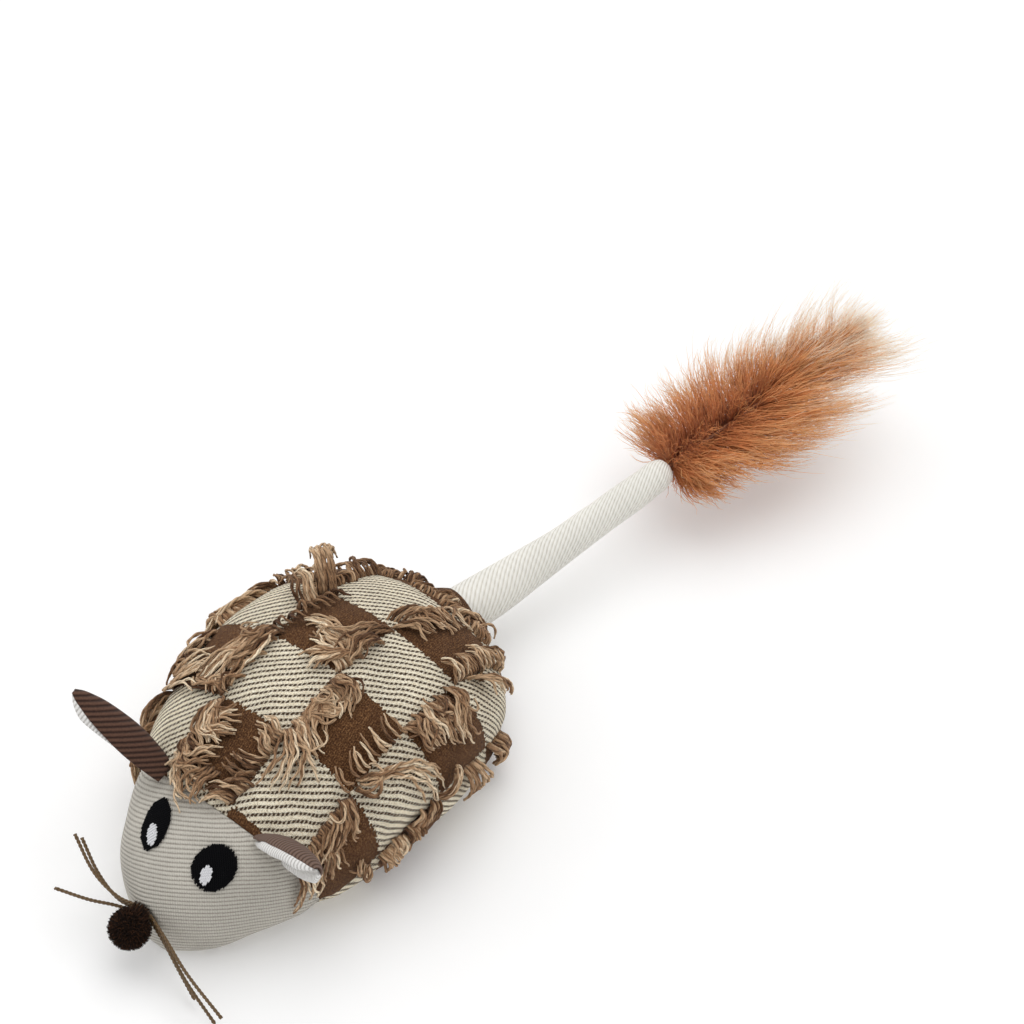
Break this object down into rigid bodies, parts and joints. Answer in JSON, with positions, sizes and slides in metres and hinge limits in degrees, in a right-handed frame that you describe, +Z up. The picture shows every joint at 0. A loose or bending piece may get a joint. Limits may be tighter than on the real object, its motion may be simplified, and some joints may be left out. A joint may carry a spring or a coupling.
{
  "type": "motorised mouse cat toy",
  "caption": "Stuffed mouse toy with folded ears, cut-yarn fringe and a feather-tipped tail that a geared motor unit in the belly swings from side to side.",
  "frame": {"origin": "on the flat underside of the belly, on the middle plane of the body, 62 mm behind the snout", "axes": "+Y from the snout to the tail, +Z up, +X towards the mouse's left"},
  "size_m": [0.0956, 0.2916, 0.0528],
  "materials": {
    "knit_grey": "ribbed knit, matt",
    "weave_check": "chequered weave of cream and dark brown yarn",
    "yarn_brown": "two-ply cut yarn",
    "stuffing_white": "loose fibre fill",
    "stitch_black": "close satin stitches",
    "stitch_white": "close satin stitches",
    "pompom_brown": "cut yarn ball",
    "cord_waxed": "waxed two-ply cord",
    "ear_brown": "fine ribbed knit",
    "ear_pale": "fine ribbed knit",
    "tail_cream": "fine ribbed knit",
    "rod_white": "flexible moulded rod",
    "quill_rust": "dyed feather shaft",
    "vane_rust": "soft dyed down",
    "case_black": "lightly textured moulding",
    "gear_white": "natural acetal",
    "lever_dark": "smooth moulding",
    "steel": "plated steel",
    "brass": "turned brass",
    "board_green": "solder mask on glass laminate",
    "cell_sleeve": "shrink sleeve over the can",
    "lead_red": "insulated wire",
    "lead_black": "insulated wire",
    "switch_grey": "moulded switch body",
    "button_red": "smooth moulding",
    "lamp_clear": "clear lamp body",
    "flap_brown": "plain weave",
    "hook_black": "hook tape",
    "loop_dark": "loop tape"
  },
  "bodies": {
    "mouse": {"head_cover": "knit_grey", "head_stuffing": "stuffing_white", "body_cover": "weave_check", "body_stuffing": "stuffing_white", "rear_gusset": "weave_check", "fringe_line_1": "yarn_brown", "fringe_line_2": "yarn_brown", "fringe_line_3": "yarn_brown", "fringe_line_4": "yarn_brown", "fringe_line_5": "yarn_brown", "fringe_line_6": "yarn_brown", "fringe_tail_root": "yarn_brown", "eye_left": "stitch_black", "eye_right": "stitch_black", "eye_highlight_left": "stitch_white", "eye_highlight_right": "stitch_white", "nose_pompom": "pompom_brown", "whisker_cord_1": "cord_waxed", "whisker_cord_2": "cord_waxed", "whisker_cord_3": "cord_waxed", "ear_left_outer": "ear_brown", "ear_left_lining": "ear_pale", "ear_right_outer": "ear_brown", "ear_right_lining": "ear_pale", "motor": "steel", "gear_pin_1": "steel", "gear_pin_2": "steel", "tail_pivot_pin": "steel", "unit_lower_case": "case_black", "unit_upper_case": "case_black", "case_screw_1": "steel", "case_screw_2": "steel", "case_screw_3": "steel", "battery_cell": "cell_sleeve", "circuit_board": "board_green", "power_switch": "switch_grey", "charging_socket": "steel", "charge_lamp": "lamp_clear", "touch_sensor": "brass", "cell_lead_1": "lead_red", "cell_lead_2": "lead_black", "motor_lead_1": "lead_red", "motor_lead_2": "lead_black", "loop_tape": "loop_dark"},
    "tail": {"tail_lever": "lever_dark", "tail_rod": "rod_white", "tail_sleeve": "tail_cream", "tail_stuffing": "stuffing_white", "feather_quill": "quill_rust", "feather_vane_left": "vane_rust", "feather_vane_right": "vane_rust"},
    "gear_2": {"reduction_gear_2": "gear_white"},
    "gear_1": {"reduction_gear_1": "gear_white"},
    "pinion": {"motor_pinion": "brass", "motor_shaft": "steel"},
    "button": {"power_button": "button_red"},
    "flap": {"belly_flap": "flap_brown", "hook_tape": "hook_black"}
  },
  "joints": [
    {"name": "tail_swing", "type": "hinge", "parent": "mouse", "child": "tail", "pos_m": [0, 0.052, 0.016], "axis": [0, 0, 1], "range_deg": [-13, 39]},
    {"name": "gear_2_spin", "type": "hinge", "parent": "mouse", "child": "gear_2", "pos_m": [0, 0.0352, 0.02], "axis": [0, 0, 1], "range_deg": [-184, 64]},
    {"name": "gear_1_spin", "type": "hinge", "parent": "mouse", "child": "gear_1", "pos_m": [0, 0.0232, 0.02], "axis": [0, 0, 1], "range_deg": [-190, 549]},
    {"name": "pinion_spin", "type": "hinge", "parent": "mouse", "child": "pinion", "pos_m": [0, 0.0112, 0.02], "axis": [0, 0, 1], "range_deg": [-1640, 560]},
    {"name": "power_button_press", "type": "slide", "parent": "mouse", "child": "button", "axis": [0, 0, 1], "range_m": [0, 0.0005], "stiffness_N_per_m": 400},
    {"name": "belly_flap_hinge", "type": "hinge", "parent": "mouse", "child": "flap", "pos_m": [0, 0.047, 0], "axis": [1, 0, 0], "range_deg": [0, 100]}
  ],
  "couplings": [
    {"joint": "gear_2_spin", "follows": "tail_swing", "ratio": -4.6},
    {"joint": "gear_1_spin", "follows": "tail_swing", "ratio": 13.8},
    {"joint": "pinion_spin", "follows": "tail_swing", "ratio": -41.4}
  ]
}
